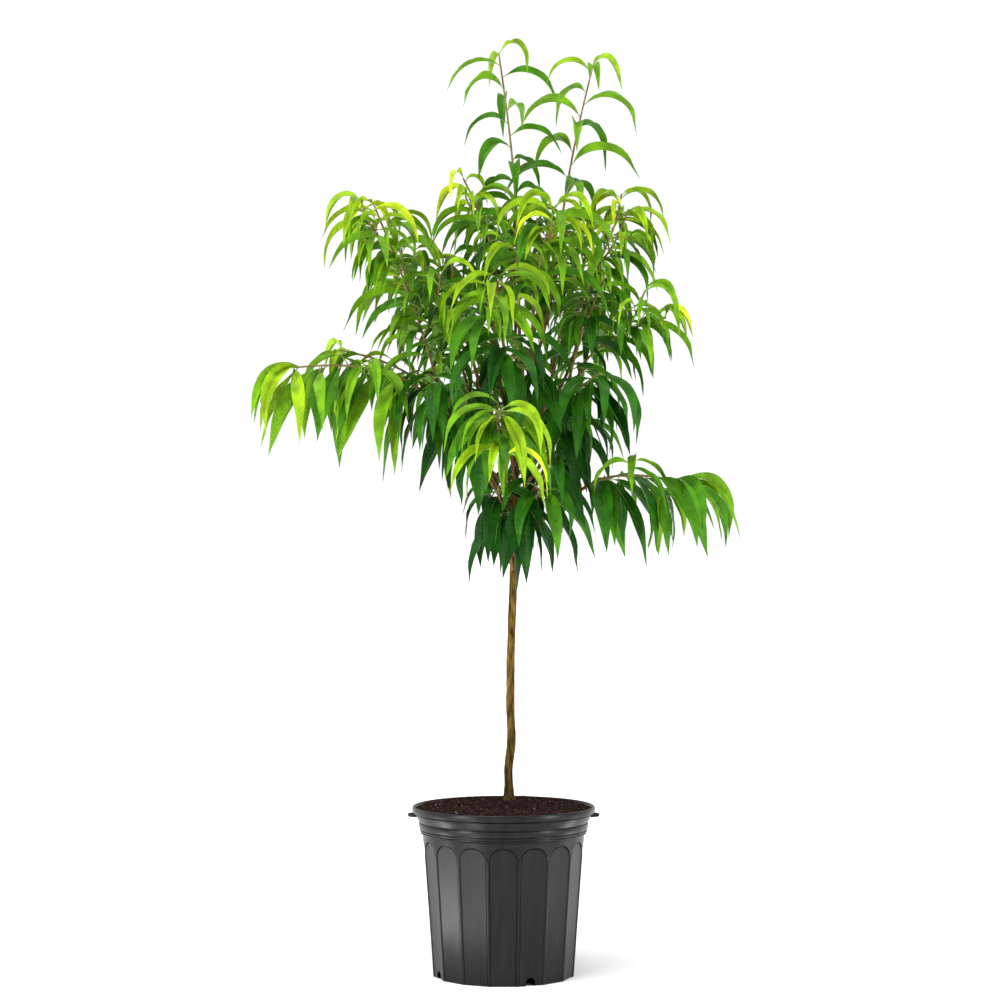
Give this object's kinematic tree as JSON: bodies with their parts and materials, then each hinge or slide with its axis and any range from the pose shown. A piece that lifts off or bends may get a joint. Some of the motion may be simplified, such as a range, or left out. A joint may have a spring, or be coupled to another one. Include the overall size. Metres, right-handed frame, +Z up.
{
  "type": "potted dwarf peach tree",
  "caption": "Young dwarf peach tree with long drooping leaves on a slim trunk, in a fluted black nursery pot.",
  "frame": {"origin": "middle of the pot's flat underside", "axes": "+Z up along the trunk, +X to the right of the tree's front, +Y away from the front"},
  "size_m": [0.7975, 0.5938, 1.5497],
  "materials": {
    "black_plastic": "satin moulded plastic",
    "potting_mix": "damp composted bark",
    "bark": "smooth young bark",
    "green_wood": "smooth young shoots",
    "peach_leaf": "slightly glossy leaf"
  },
  "bodies": {
    "root": {"pot": "black_plastic", "soil": "potting_mix", "trunk": "bark", "bough_leader_left": "green_wood", "foliage_leader_left": "peach_leaf", "bough_leader_right": "green_wood", "foliage_leader_right": "peach_leaf", "bough_upper_left": "green_wood", "foliage_upper_left": "peach_leaf", "bough_centre_front": "green_wood", "foliage_centre_front": "peach_leaf", "bough_left_crown": "green_wood", "foliage_left_crown": "peach_leaf", "bough_left_inner": "green_wood", "foliage_left_inner": "peach_leaf", "bough_right_crown": "green_wood", "foliage_right_crown": "peach_leaf", "bough_right_inner": "green_wood", "foliage_right_inner": "peach_leaf", "bough_right_mid": "green_wood", "foliage_right_mid": "peach_leaf", "bough_left_arm": "green_wood", "foliage_left_arm": "peach_leaf", "bough_left_fork": "green_wood", "foliage_left_fork": "peach_leaf", "bough_right_arm": "green_wood", "foliage_right_arm": "peach_leaf", "bough_front_low": "green_wood", "foliage_front_low": "peach_leaf", "bough_front_left": "green_wood", "foliage_front_left": "peach_leaf", "bough_core_front": "green_wood", "foliage_core_front": "peach_leaf", "bough_left_skirt": "green_wood", "foliage_left_skirt": "peach_leaf", "bough_right_skirt": "green_wood", "foliage_right_skirt": "peach_leaf", "bough_low_left": "green_wood", "foliage_low_left": "peach_leaf", "bough_low_front": "green_wood", "foliage_low_front": "peach_leaf", "bough_low_right": "green_wood", "foliage_low_right": "peach_leaf", "bough_low_back": "green_wood", "foliage_low_back": "peach_leaf", "bough_back_left": "green_wood", "foliage_back_left": "peach_leaf", "bough_back_right": "green_wood", "foliage_back_right": "peach_leaf", "bough_back_mid": "green_wood", "foliage_back_mid": "peach_leaf", "bough_back_low": "green_wood", "foliage_back_low": "peach_leaf", "bough_back_skirt": "green_wood", "foliage_back_skirt": "peach_leaf"}
  },
  "joints": []
}
